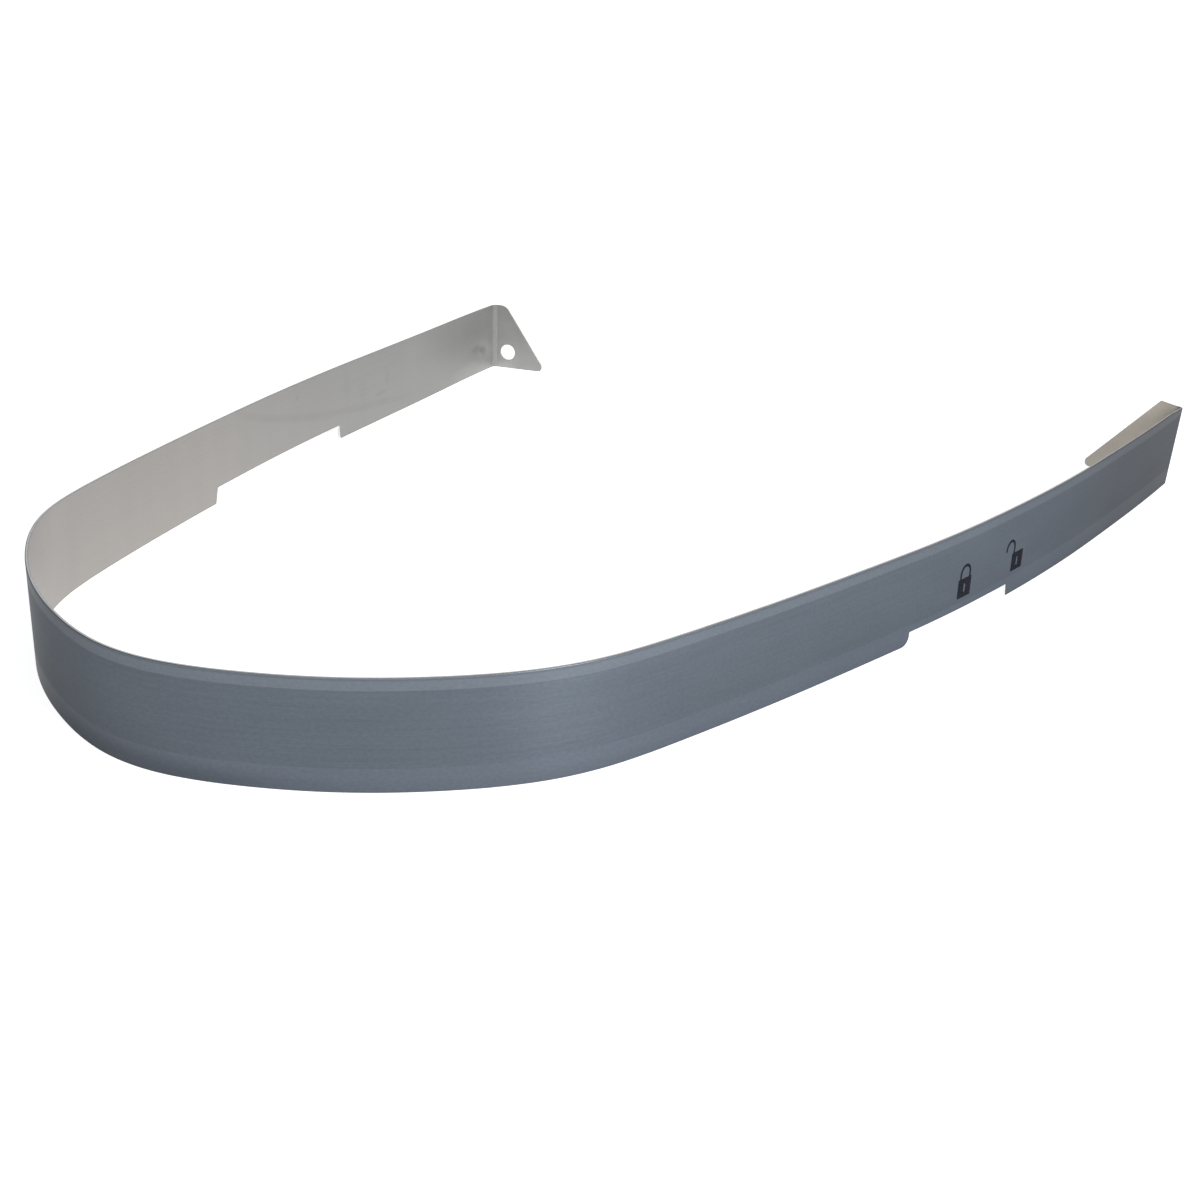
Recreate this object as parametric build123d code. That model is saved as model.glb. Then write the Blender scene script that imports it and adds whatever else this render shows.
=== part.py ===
from build123d import *
import os
from math import atan2, cos, hypot, pi, radians, sin, tan

# Trim band: one strip of thin aluminium sheet, blanked, then folded and sprung into a U.
# Frame: +Z up, the strip stands on its lower edge. +X runs along the U from the blunt
# front to the open rear; the left arm is on the -Y side, the right arm on the +Y side.
# The origin is the middle of the lower face of the bounding box. Millimetres, degrees.

# ---------------------------------------------------------------- driving dimensions
BAND_HEIGHT = 22.0          # width of the strip, standing upright
SHEET = 0.6                 # sheet thickness

# Plan of the outer face, as tangent arcs counted from the middle of the front.
# Curvature is in 1/m, positive where the arc bends inwards.
FRONT_LENGTHS = [10, 10, 10, 10, 12, 12, 10, 10, 10, 10]
FRONT_CURVES = [23.20, 13.92, 8.25, 9.66, 9.67, 8.30, 12.22, 17.41, 14.58, 6.30]
ARM_LENGTHS = [20, 24, 28, 32, 32, 30, 30, 28]      # the last arc runs to the fold
LEFT_CURVES = [1.20, 1.17, 0.49, 2.10, 1.37, 1.58, 0.40, 0.82, 3.13]
RIGHT_CURVES = [1.76, 0.77, 0.54, 1.24, 1.00, -0.12, -0.50, 1.60, 3.15]
LEFT_REACH = 338.1          # strip length from the middle of the front to the left fold, at the lower edge
RIGHT_REACH = 331.0         # the same on the right arm
FRONT_TURN = -0.9           # turns the front so that both arms end evenly about the X axis

# Folded screw tabs at the arm ends
FOLD_INSIDE_R = 1.6         # inside radius of the fold
LEFT_FOLD_ANGLE, RIGHT_FOLD_ANGLE = 87.0, 86.0
LEFT_FOLD_LEAN = 6.0        # the left fold line leans: this much further back at the top edge
LEFT_FLAT = 8.0             # flat stretch of the left arm ahead of its leaning fold
LEFT_TAB_TOP, LEFT_TAB_BOTTOM = 6.3, 26.1       # tab length at the top and lower edge
RIGHT_TAB_TOP, RIGHT_TAB_BOTTOM = 4.4, 19.7
LEFT_TAB_TOP_R, RIGHT_TAB_TOP_R = 0.3, 4.0      # rounding of the tab's upper corner
LEFT_DIP, LEFT_DIP_ARM = 0.7, 13.0                # shallow dip of the top edge at the left fold, and its run on the arm
TAB_TIP_R = 1.5             # rounding of the tab's lower tip
HOLE_D = 5.4                # screw hole in each tab
HOLE_FROM_FOLD = 5.3        # hole centre from the inside corner of the fold
HOLE_HEIGHT = 5.6           # hole centre above the lower edge

# Long shallow cut-outs in the lower edge, one on each arm, placed along the strip
# between their roots; a step that leans is longer at the lower edge
LEFT_CUT_FROM, LEFT_CUT_TO, LEFT_CUT_DEPTH = 179.4, 221.6, 3.0
LEFT_CUT_LIP_R = 2.4        # rounded corner of the front lip
LEFT_REAR_LEAN = 0.5        # the rear step leans back towards the lower edge
RIGHT_CUT_FROM, RIGHT_CUT_TO, RIGHT_CUT_DEPTH = 160.3, 226.9, 4.15
RIGHT_FRONT_LEAN = 1.2      # the front step leans forwards towards the lower edge
RIGHT_REAR_LEAN = 0.4
RIGHT_CUT_LIP_R = 0.9       # rounded corner of the rear lip
CUT_ROOT_R = 0.4            # rounding in the roots of the cut-outs


# ---------------------------------------------------------------- plan
def arm_segments(curves, reach):
    """Length and curvature (1/mm) of each arc of one half, from the front to the tab's end."""
    lengths = FRONT_LENGTHS + ARM_LENGTHS
    lengths = lengths + [reach - sum(lengths)]
    return list(zip(lengths, [k / 1000.0 for k in FRONT_CURVES + curves]))


def walk(state, length, k):
    """Goes along one arc of the outer face from (x, y, heading)."""
    x, y, a = state
    if abs(k) < 1e-9:
        return (x + length * cos(a), y + length * sin(a), a)
    b = a + k * length
    return (x + (sin(b) - sin(a)) / k, y - (cos(b) - cos(a)) / k, b)


def at(segments, s):
    """Position and heading of the outer face at strip length s."""
    state = (0.0, 0.0, -pi / 2)
    for length, k in segments:
        if s <= length:
            return walk(state, s, k)
        state = walk(state, length, k)
        s -= length
    raise ValueError("past the end of the strip")


left_fold, right_fold = radians(LEFT_FOLD_ANGLE), radians(RIGHT_FOLD_ANGLE)
fold_outside_r = FOLD_INSIDE_R + SHEET


def fold_leg(fold):
    """From the inside corner of a fold to its tangent point."""
    return FOLD_INSIDE_R * tan(fold / 2)


def with_tab(segments, tab_length, fold):
    return segments + [(fold_outside_r * fold, 1 / fold_outside_r), (tab_length - fold_leg(fold), 0.0)]


left_arm = arm_segments(LEFT_CURVES, LEFT_REACH - LEFT_FLAT)
left = with_tab(left_arm + [(LEFT_FLAT, 0.0)], LEFT_TAB_BOTTOM, left_fold)
right = with_tab(arm_segments(RIGHT_CURVES, RIGHT_REACH), RIGHT_TAB_BOTTOM, right_fold)

turn = radians(FRONT_TURN)


def place(x, y, mirrored):
    """From the plan of one half to the part: mirrored for the right half, then turned."""
    if mirrored:
        y = -y
    return (x * cos(turn) - y * sin(turn), x * sin(turn) + y * cos(turn))


def skin(segments, mirrored, offset, start=(0.0, 0.0, -pi / 2)):
    """Edges of one skin along some segments, and its last point."""
    edges, state = [], start
    for length, k in segments:
        mid, end = walk(state, length / 2, k), walk(state, length, k)
        p0, pm, p1 = [
            place(x - offset * sin(a), y + offset * cos(a), mirrored) for x, y, a in (state, mid, end)
        ]
        edges.append(Line(p0, p1) if abs(k) < 1e-9 else ThreePointArc(p0, pm, p1))
        state = end
    return edges, p1


# the band up to the flat stretch of the left arm, and the whole right half
OVERLAP = 0.5
left_out, left_out_end = skin(left_arm + [(LEFT_FLAT - OVERLAP, 0.0)], False, 0.0)
left_in, left_in_end = skin(left_arm + [(LEFT_FLAT - OVERLAP, 0.0)], False, SHEET)
right_out, right_out_end = skin(right, True, 0.0)
right_in, right_in_end = skin(right, True, SHEET)
outline = (
    left_out
    + [Line(left_out_end, left_in_end)]
    + left_in
    + right_in
    + [Line(right_in_end, right_out_end)]
    + right_out
)
band = extrude(make_face(outline), amount=BAND_HEIGHT, dir=(0, 0, 1))

# the left end: flat stretch, fold and tab, drawn up along the leaning fold line; the flat
# stretch leans within its own plane, so it runs into the arm without a step
begin = at(left, LEFT_REACH - LEFT_FLAT + OVERLAP)
end_segments = [(LEFT_FLAT - OVERLAP, 0.0)] + left[-2:]
end_out, end_out_last = skin(end_segments, False, 0.0, begin)
end_in, end_in_last = skin(end_segments, False, SHEET, begin)
first_out = place(begin[0], begin[1], False)
first_in = place(begin[0] - SHEET * sin(begin[2]), begin[1] + SHEET * cos(begin[2]), False)
lean = (
    LEFT_FOLD_LEAN / BAND_HEIGHT * cos(begin[2] + turn),
    LEFT_FOLD_LEAN / BAND_HEIGHT * sin(begin[2] + turn),
)
slope = hypot(1, hypot(lean[0], lean[1]))
left_end = extrude(
    make_face(end_out + [Line(end_out_last, end_in_last)] + end_in + [Line(first_in, first_out)]),
    amount=BAND_HEIGHT * slope,
    dir=(lean[0] / slope, lean[1] / slope, 1 / slope),
)
band = band + left_end


# ---------------------------------------------------------------- cutters
def rounded(before, corner, after, r):
    """Start, middle and end of the arc of radius r that rounds a corner of a polygon."""
    ax, ay = before[0] - corner[0], before[1] - corner[1]
    bx, by = after[0] - corner[0], after[1] - corner[1]
    la, lb = hypot(ax, ay), hypot(bx, by)
    ax, ay, bx, by = ax / la, ay / la, bx / lb, by / lb
    half = atan2(abs(ax * by - ay * bx), ax * bx + ay * by) / 2
    leg, mid = r / tan(half), r / sin(half) - r
    mx, my = ax + bx, ay + by
    lm = hypot(mx, my)
    return (
        (corner[0] + ax * leg, corner[1] + ay * leg),
        (corner[0] + mx / lm * mid, corner[1] + my / lm * mid),
        (corner[0] + bx * leg, corner[1] + by * leg),
    )


def blade(points, radii):
    """A flat closed outline from corner points, each rounded by its radius (0 leaves it sharp)."""
    n, edges, last, first = len(points), [], None, None
    for i, (p, r) in enumerate(zip(points, radii)):
        if r > 0:
            a, m, b = rounded(points[i - 1], p, points[(i + 1) % n], r)
        else:
            a = m = b = p
        if last is not None:
            edges.append(Line(last, a))
        else:
            first = a
        if r > 0:
            edges.append(ThreePointArc(a, m, b))
        last = b
    edges.append(Line(last, first))
    return make_face(edges)


def upright(origin, direction):
    """An upright plane: X along direction in plan, Y up."""
    return Plane(
        origin=(origin[0], origin[1], 0), x_dir=(direction[0], direction[1], 0), z_dir=(direction[1], -direction[0], 0)
    )


def lower_cut(segments, mirrored, start, end, corners, radii):
    """A cut-out in the lower edge between two strip lengths, square to the strip."""
    x0, y0, _ = at(segments, start)
    x1, y1, _ = at(segments, end)
    p0, p1 = place(x0, y0, mirrored), place(x1, y1, mirrored)
    chord = hypot(p1[0] - p0[0], p1[1] - p0[1])
    plane = upright(p0, ((p1[0] - p0[0]) / chord, (p1[1] - p0[1]) / chord))
    return extrude(plane * blade(corners(chord), radii), amount=6, both=True)


# left arm: the front lip has a large rounded corner, the rear step leans
def left_corners(chord):
    d, w = LEFT_CUT_DEPTH, LEFT_REAR_LEAN
    return [(-8, -2), (-8, 0), (0, 0), (0, d), (chord, d), (chord + w, 0), (chord + w, -2)]


# right arm: both steps lean and the rear lip is rounded
def right_corners(chord):
    d, f, w = RIGHT_CUT_DEPTH, RIGHT_FRONT_LEAN, RIGHT_REAR_LEAN
    return [(-f, -2), (-f, 0), (0, d), (chord, d), (chord + w, 0), (chord + 8, 0), (chord + 8, -2)]


band -= lower_cut(
    left, False, LEFT_CUT_FROM, LEFT_CUT_TO, left_corners, [0, 0, LEFT_CUT_LIP_R, 0.15, CUT_ROOT_R, 0, 0]
)
band -= lower_cut(
    right, True, RIGHT_CUT_FROM, RIGHT_CUT_TO, right_corners, [0, 0, CUT_ROOT_R, CUT_ROOT_R, RIGHT_CUT_LIP_R, 0, 0]
)


class Tab:
    """Plane of a tab: X level along the tab from the inside corner of the fold, Y up the tab."""

    def __init__(self, segments, mirrored, fold, lean=(0.0, 0.0)):
        x, y, a = at(segments, sum(s[0] for s in segments[:-1]))
        leg = fold_leg(fold)
        inside = place(x - SHEET * sin(a) - leg * cos(a), y + SHEET * cos(a) - leg * sin(a), mirrored)
        tip = place(x - SHEET * sin(a) + cos(a), y + SHEET * cos(a) + sin(a), mirrored)
        dx, dy = tip[0] - inside[0], tip[1] - inside[1]
        d = hypot(dx, dy)
        dx, dy = dx / d, dy / d
        self.plane = Plane(
            origin=(inside[0], inside[1], 0), x_dir=(dx, dy, 0), z_dir=(dy, -dx, dx * lean[1] - dy * lean[0])
        )
        self.skew = lean[0] * dx + lean[1] * dy
        self.stretch = (1 + lean[0] ** 2 + lean[1] ** 2 - self.skew ** 2) ** 0.5

    def spot(self, u, height):
        """Plane coordinates of a place given by its distance from the fold line and its height."""
        return (u + self.skew * height, height * self.stretch)


def tab_trim(tab, top, bottom, top_r):
    """Takes away what lies beyond the slanted outline of a tab."""
    corner, tip = tab.spot(top, BAND_HEIGHT), (bottom, 0)
    h = corner[1]
    a, m, b = rounded((0, h), corner, tip, top_r)
    c, n, d = rounded(corner, tip, (0, 0), TAB_TIP_R)
    edges = [
        ThreePointArc(a, m, b),
        Line(b, c),
        ThreePointArc(c, n, d),
        Line(d, (d[0], -2)),
        Line((d[0], -2), (bottom + 8, -2)),
        Line((bottom + 8, -2), (bottom + 8, h + 2)),
        Line((bottom + 8, h + 2), (a[0], h + 2)),
        Line((a[0], h + 2), a),
    ]
    return extrude(tab.plane * make_face(edges), amount=4, both=True)


left_tab = Tab(left, False, left_fold, lean)
right_tab = Tab(right, True, right_fold)
band -= tab_trim(left_tab, LEFT_TAB_TOP, LEFT_TAB_BOTTOM, LEFT_TAB_TOP_R)
band -= tab_trim(right_tab, RIGHT_TAB_TOP, RIGHT_TAB_BOTTOM, RIGHT_TAB_TOP_R)

# the top edge dips towards the left fold, along the arm and along the tab
fold_x, fold_y, fold_a = at(left, LEFT_REACH)
fold_x, fold_y = place(fold_x, fold_y, False)
way = (cos(fold_a + turn), sin(fold_a + turn))
low = BAND_HEIGHT - LEFT_DIP
arm_plane = upright(
    (fold_x + lean[0] * BAND_HEIGHT + way[1], fold_y + lean[1] * BAND_HEIGHT - way[0]), way
)
arm_dip = Polyline((-LEFT_DIP_ARM, BAND_HEIGHT), (0, low), (6, low), (6, BAND_HEIGHT + 2),
                   (-LEFT_DIP_ARM, BAND_HEIGHT + 2), close=True)
leg = fold_leg(left_fold)
band -= extrude(arm_plane * make_face(arm_dip), amount=-(1 + SHEET + leg * sin(left_fold)))
first, last = left_tab.spot(leg - 0.02, low), left_tab.spot(LEFT_TAB_TOP, BAND_HEIGHT)
last = (first[0] + 1.2 * (last[0] - first[0]), first[1] + 1.2 * (last[1] - first[1]))
tab_dip = Polyline(first, last, (last[0], last[1] + 2), (first[0], last[1] + 2), close=True)
band -= extrude(left_tab.plane * make_face(tab_dip), amount=1.5, both=True)

for tab in (left_tab, right_tab):
    at_hole = tab.spot(HOLE_FROM_FOLD, HOLE_HEIGHT)
    band -= extrude(tab.plane * Pos(at_hole[0], at_hole[1]) * Circle(HOLE_D / 2), amount=3, both=True)

# ---------------------------------------------------------------- origin and output
box = band.bounding_box()
shift = Vector(-(box.min.X + box.max.X) / 2, -(box.min.Y + box.max.Y) / 2, -box.min.Z)
band = Pos(shift) * band
solids = band.solids()
trim_band = solids[0]
trim_band.label = "trim_band"

os.makedirs("parts", exist_ok=True)
export_step(trim_band, "parts/trim_band.step")

box = trim_band.bounding_box()
print("solids", len(solids), "valid", trim_band.is_valid, "volume mm3", round(trim_band.volume, 2))
print("size mm", [round(v, 3) for v in (box.size.X, box.size.Y, box.size.Z)])
print("front middle, outer face, mm", [round(v, 4) for v in (shift.X, shift.Y, shift.Z)])
for name, tab in (("left", left_tab), ("right", right_tab)):
    plane, at_hole = tab.plane, tab.spot(HOLE_FROM_FOLD, HOLE_HEIGHT)
    c = plane.from_local_coords(Vector(at_hole[0], at_hole[1], 0)) + shift
    print(name, "hole, inner face of the tab, mm", [round(v, 4) for v in (c.X, c.Y, c.Z)],
          "tab normal", [round(v, 6) for v in (plane.z_dir.X, plane.z_dir.Y, plane.z_dir.Z)])
print("developed length mm", round(sum(s[0] for s in left) + sum(s[0] for s in right), 1))
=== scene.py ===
from math import atan2, ceil, cos, hypot, pi, radians, sin, sqrt, tan

import bpy
from mathutils import Matrix, Vector
from mathutils.geometry import delaunay_2d_cdt


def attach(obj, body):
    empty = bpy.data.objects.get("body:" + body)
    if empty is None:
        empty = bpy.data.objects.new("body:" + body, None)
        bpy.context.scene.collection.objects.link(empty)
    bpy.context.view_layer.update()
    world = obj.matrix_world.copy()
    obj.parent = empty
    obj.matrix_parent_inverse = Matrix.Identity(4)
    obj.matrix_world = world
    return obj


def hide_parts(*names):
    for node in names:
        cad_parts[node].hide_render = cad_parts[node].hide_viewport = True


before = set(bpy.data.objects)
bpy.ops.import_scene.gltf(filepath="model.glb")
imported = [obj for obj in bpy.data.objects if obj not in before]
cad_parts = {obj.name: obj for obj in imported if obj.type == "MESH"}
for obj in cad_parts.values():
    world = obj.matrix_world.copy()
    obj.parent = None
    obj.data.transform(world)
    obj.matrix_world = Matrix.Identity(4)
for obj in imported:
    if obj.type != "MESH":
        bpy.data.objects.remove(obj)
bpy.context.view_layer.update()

# Trim band: one strip of thin aluminium sheet. Millimetres in the strip's own flat coordinates:
# s runs along the outer face from the middle of the front (left arm positive, right arm
# negative), z is the height, depth goes from the outer face into the sheet.
MM = 0.001

# ------------------------------------------------------------------ the band's numbers
BAND_HEIGHT = 22.0
SHEET = 0.6
FRONT_LENGTHS = [10, 10, 10, 10, 12, 12, 10, 10, 10, 10]
FRONT_CURVES = [23.20, 13.92, 8.25, 9.66, 9.67, 8.30, 12.22, 17.41, 14.58, 6.30]
ARM_LENGTHS = [20, 24, 28, 32, 32, 30, 30, 28]
LEFT_CURVES = [1.20, 1.17, 0.49, 2.10, 1.37, 1.58, 0.40, 0.82, 3.13]
RIGHT_CURVES = [1.76, 0.77, 0.54, 1.24, 1.00, -0.12, -0.50, 1.60, 3.15]
LEFT_REACH = 338.1
RIGHT_REACH = 331.0
FRONT_TURN = -0.9
FOLD_INSIDE_R = 1.6
LEFT_FOLD_ANGLE, RIGHT_FOLD_ANGLE = 87.0, 86.0
LEFT_FOLD_LEAN = 6.0        # the left fold line lies this much further back at the top edge
LEFT_FLAT = 8.0             # flat stretch of the left arm ahead of its leaning fold
LEFT_TAB_TOP, LEFT_TAB_BOTTOM = 6.3, 26.1
RIGHT_TAB_TOP, RIGHT_TAB_BOTTOM = 4.4, 19.7
LEFT_TAB_TOP_R, RIGHT_TAB_TOP_R = 0.3, 4.0
LEFT_DIP, LEFT_DIP_ARM = 0.7, 13.0          # the top edge dips towards the left fold
TAB_TIP_R = 1.5
HOLE_D = 5.4
HOLE_FROM_FOLD = 5.3
HOLE_HEIGHT = 5.6
LEFT_CUT_FROM, LEFT_CUT_TO, LEFT_CUT_DEPTH = 179.4, 221.6, 3.0
LEFT_CUT_LIP_R = 2.4
LEFT_REAR_LEAN = 0.5
RIGHT_CUT_FROM, RIGHT_CUT_TO, RIGHT_CUT_DEPTH = 160.3, 226.9, 4.15
RIGHT_FRONT_LEAN = 1.2
RIGHT_REAR_LEAN = 0.4
RIGHT_CUT_LIP_R = 0.9
CUT_ROOT_R = 0.4
SHIFT_X, SHIFT_Y = -149.5615, 0.2971

# finish of the faces, by height
LOWER_LINE = 4.75           # top of the lower smooth border
UPPER_LINE = 19.65          # bottom of the upper smooth border
OUTER_ROUND = 0.13          # rolled-over corner of the blanked edge, outer side
INNER_ROUND = 0.06          # the same on the inner side

LEFT_FOLD, RIGHT_FOLD = radians(LEFT_FOLD_ANGLE), radians(RIGHT_FOLD_ANGLE)
fold_outside_r = FOLD_INSIDE_R + SHEET
LEFT_ARC, RIGHT_ARC = fold_outside_r * LEFT_FOLD, fold_outside_r * RIGHT_FOLD
LEFT_LEG, RIGHT_LEG = FOLD_INSIDE_R * tan(LEFT_FOLD / 2), FOLD_INSIDE_R * tan(RIGHT_FOLD / 2)
turn = radians(FRONT_TURN)

# the leaning tab: how far it goes back for each millimetre up, and what that makes of its own plane
LEAN = LEFT_FOLD_LEAN / BAND_HEIGHT
SKEW = LEAN * cos(LEFT_FOLD)
STRETCH = sqrt(1 + LEAN ** 2 - SKEW ** 2)
LEAN_FROM = LEFT_REACH - LEFT_FLAT


# ------------------------------------------------------------------ plan of the strip
def chain(curves, reach, flat, arc, tab):
    """Start state, length and curvature of each arc of one half."""
    lengths = FRONT_LENGTHS + ARM_LENGTHS
    lengths = lengths + [reach - flat - sum(lengths)]
    arcs = list(zip(lengths, [k / 1000.0 for k in FRONT_CURVES + curves]))
    arcs += [(flat, 0.0), (arc, 1 / fold_outside_r), (tab + 4.0, 0.0)]
    found, state, begin = [], (0.0, 0.0, -pi / 2), 0.0
    for length, k in arcs:
        found.append((begin, length, k, state))
        state, begin = walk(state, length, k), begin + length
    return found


def walk(state, length, k):
    x, y, a = state
    if abs(k) < 1e-9:
        return (x + length * cos(a), y + length * sin(a), a)
    b = a + k * length
    return (x + (sin(b) - sin(a)) / k, y - (cos(b) - cos(a)) / k, b)


LEFT = chain(LEFT_CURVES, LEFT_REACH, LEFT_FLAT, LEFT_ARC, LEFT_TAB_BOTTOM)
RIGHT = chain(RIGHT_CURVES, RIGHT_REACH, 0.0, RIGHT_ARC, RIGHT_TAB_BOTTOM)


def turned(x, y):
    return (x * cos(turn) - y * sin(turn), x * sin(turn) + y * cos(turn))


def heading(s):
    """Place and direction of the outer face in the plan of one half, before the front's turn."""
    arcs = LEFT if s >= 0 else RIGHT
    t = abs(s)
    i = len(arcs) - 1
    while i > 0 and t < arcs[i][0]:
        i -= 1
    begin, length, k, state = arcs[i]
    return walk(state, t - begin, k)


FLAT_WAY = heading(LEFT_REACH - 0.5 * LEFT_FLAT)[2]


def leaning(s, z):
    """How far the left end is drawn back along its flat stretch at this place."""
    return LEAN * z if s - LEAN * z > LEAN_FROM else 0.0


def bent(s, z, depth=0.0):
    """A point of the sheet, in metres: along the strip, up, and in from the outer face."""
    back = leaning(s, z)
    x, y, a = heading(s - back)
    x, y = x - depth * sin(a) + back * cos(FLAT_WAY), y + depth * cos(a) + back * sin(FLAT_WAY)
    if s < 0:
        y = -y
    x, y = turned(x, y)
    return Vector(((x + SHIFT_X) * MM, (y + SHIFT_Y) * MM, z * MM))


def directions(s, z):
    """Outward normal of the outer face, and the ways that growing s and growing z go."""
    back = leaning(s, z)
    a = heading(s - back)[2]
    if s >= 0:
        out, along = turned(sin(a), -cos(a)), turned(cos(a), sin(a))
    else:
        out, along = turned(sin(a), cos(a)), turned(-cos(a), sin(a))
    out, along, up = Vector((*out, 0)), Vector((*along, 0)), Vector((0, 0, 1))
    if back:
        flat = Vector((*turned(cos(FLAT_WAY), sin(FLAT_WAY)), 0))
        up += (flat - along) * LEAN
        out.z = -LEAN * flat.dot(out)
    return out.normalized(), along, up


def tab_s(reach, arc, leg, u):
    """Strip length of a tab's coordinate, which counts from the inside corner of the fold."""
    return reach + arc - leg + u


def left_tab_s(u):
    return tab_s(LEFT_REACH, LEFT_ARC, LEFT_LEG, u)


def right_tab_s(u):
    return tab_s(RIGHT_REACH, RIGHT_ARC, RIGHT_LEG, u)


def from_left_tab(x, y):
    """Strip place of a point given in the leaning tab's own plane, from its lower inside corner."""
    z = y / STRETCH
    return (left_tab_s(x - SKEW * z) + LEAN * z, z)


def leaned(c, z):
    """Where a column of the mesh is at a height: the last left ones follow the leaning fold."""
    return c + LEAN * z * min(1.0, max(0.0, (c - LEAN_FROM) / LEFT_FLAT))


def upright(s, z):
    """The column that passes through a place: leaned() the other way."""
    if s <= LEAN_FROM:
        return s
    return max(s - LEAN * z, LEAN_FROM + min(LEFT_FLAT, (s - LEAN_FROM) / (1 + LEAN * z / LEFT_FLAT)))


# ------------------------------------------------------------------ flat outline
def steps(lo, hi, size):
    n = max(1, ceil((hi - lo) / size - 1e-9))
    return [lo + (hi - lo) * i / n for i in range(n + 1)]


def columns(reach, arc, end):
    """Strip lengths of the mesh's columns on one half."""
    marks = steps(0, 104, 1.3) + steps(104, reach - LEFT_FLAT, 2.0) + steps(reach - LEFT_FLAT, reach, 2.0)
    marks += steps(reach, reach + arc, 0.165) + steps(reach + arc, end, 0.9)
    return sorted({round(m, 5) for m in marks})


LEFT_END = left_tab_s(LEFT_TAB_BOTTOM)
RIGHT_END = right_tab_s(RIGHT_TAB_BOTTOM)
LEFT_COLUMNS = columns(LEFT_REACH, LEFT_ARC, LEFT_END)
RIGHT_COLUMNS = columns(RIGHT_REACH, RIGHT_ARC, RIGHT_END)
COLUMNS = sorted([-c for c in RIGHT_COLUMNS if c > 0] + LEFT_COLUMNS)


def rounded(before, corner, after, r):
    """Points of the arc of radius r that rounds a corner."""
    ax, ay = before[0] - corner[0], before[1] - corner[1]
    bx, by = after[0] - corner[0], after[1] - corner[1]
    la, lb = hypot(ax, ay), hypot(bx, by)
    ax, ay, bx, by = ax / la, ay / la, bx / lb, by / lb
    full = atan2(abs(ax * by - ay * bx), ax * bx + ay * by)
    leg, dist = r / tan(full / 2), r / sin(full / 2)
    mx, my = ax + bx, ay + by
    lm = hypot(mx, my)
    cx, cy = corner[0] + mx / lm * dist, corner[1] + my / lm * dist
    p, q = (corner[0] + ax * leg, corner[1] + ay * leg), (corner[0] + bx * leg, corner[1] + by * leg)
    a0, a1 = atan2(p[1] - cy, p[0] - cx), atan2(q[1] - cy, q[0] - cx)
    sweep = (a1 - a0 + pi) % (2 * pi) - pi
    n = max(4, ceil(abs(sweep) / radians(9)), ceil(abs(sweep) * r / 0.4))
    return [(cx + r * cos(a0 + sweep * i / n), cy + r * sin(a0 + sweep * i / n)) for i in range(n + 1)]


def between(p, q):
    """Points inside a straight side: at the mesh's columns, and no more than 1.2 mm apart upwards."""
    if abs(q[0] - p[0]) > 2 * abs(q[1] - p[1]):
        lo, hi = min(p[0], q[0]), max(p[0], q[0])
        inside = [c for c in (leaned(c, p[1]) for c in COLUMNS) if lo + 0.05 < c < hi - 0.05]
        if q[0] < p[0]:
            inside.reverse()
        return [(c, p[1] + (q[1] - p[1]) * (c - p[0]) / (q[0] - p[0])) for c in inside]
    n = ceil(hypot(q[0] - p[0], q[1] - p[1]) / 1.0)
    return [(p[0] + (q[0] - p[0]) * i / n, p[1] + (q[1] - p[1]) * i / n) for i in range(1, n)]


def outline():
    """The blank's edge, anticlockwise, with every corner rounded at least a little."""
    h, small = BAND_HEIGHT, 0.16
    tip, top = (LEFT_TAB_BOTTOM, 0.0), (LEFT_TAB_TOP + SKEW * h, h * STRETCH)
    left_tip = [from_left_tab(*p) for p in rounded((0.0, 0.0), tip, top, TAB_TIP_R)]
    low = h - LEFT_DIP
    foot = (LEFT_LEG + SKEW * low, low * STRETCH)
    left_top = [from_left_tab(*p) for p in rounded(tip, top, foot, LEFT_TAB_TOP_R)]
    corners = [
        # lower edge, from the right tab's tip to the left tab's tip
        (-RIGHT_END, 0, TAB_TIP_R),
        (-RIGHT_CUT_TO - RIGHT_REAR_LEAN, 0, RIGHT_CUT_LIP_R),
        (-RIGHT_CUT_TO, RIGHT_CUT_DEPTH, CUT_ROOT_R),
        (-RIGHT_CUT_FROM, RIGHT_CUT_DEPTH, CUT_ROOT_R),
        (-RIGHT_CUT_FROM + RIGHT_FRONT_LEAN, 0, small),
        (LEFT_CUT_FROM, 0, LEFT_CUT_LIP_R),
        (LEFT_CUT_FROM, LEFT_CUT_DEPTH, 0.15),
        (LEFT_CUT_TO, LEFT_CUT_DEPTH, CUT_ROOT_R),
        (LEFT_CUT_TO + LEFT_REAR_LEAN, 0, small),
        (LEFT_END, 0, left_tip),
        # upper edge, back again
        (left_tab_s(LEFT_TAB_TOP) + LEFT_FOLD_LEAN, h, left_top),
        (LEFT_REACH + LEFT_ARC + LEAN * low, low, 2.0),
        (LEFT_REACH + LEFT_FOLD_LEAN, low, 4.0),
        (LEFT_REACH + LEFT_FOLD_LEAN - LEFT_DIP_ARM, h, 6.0),
        (-right_tab_s(RIGHT_TAB_TOP), h, RIGHT_TAB_TOP_R),
    ]
    n, points = len(corners), []
    for i, (s, z, r) in enumerate(corners):
        arc = r if isinstance(r, list) else rounded(corners[i - 1][:2], (s, z), corners[(i + 1) % n][:2], r)
        if points:
            points += between(points[-1], arc[0])
        points += arc
    return points + between(points[-1], points[0])


def ring(cx, cy, r, n=72):
    """A hole's edge, clockwise, so that the sheet is on its left too."""
    return [(cx + r * cos(-2 * pi * i / n), cy + r * sin(-2 * pi * i / n)) for i in range(n)]


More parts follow.
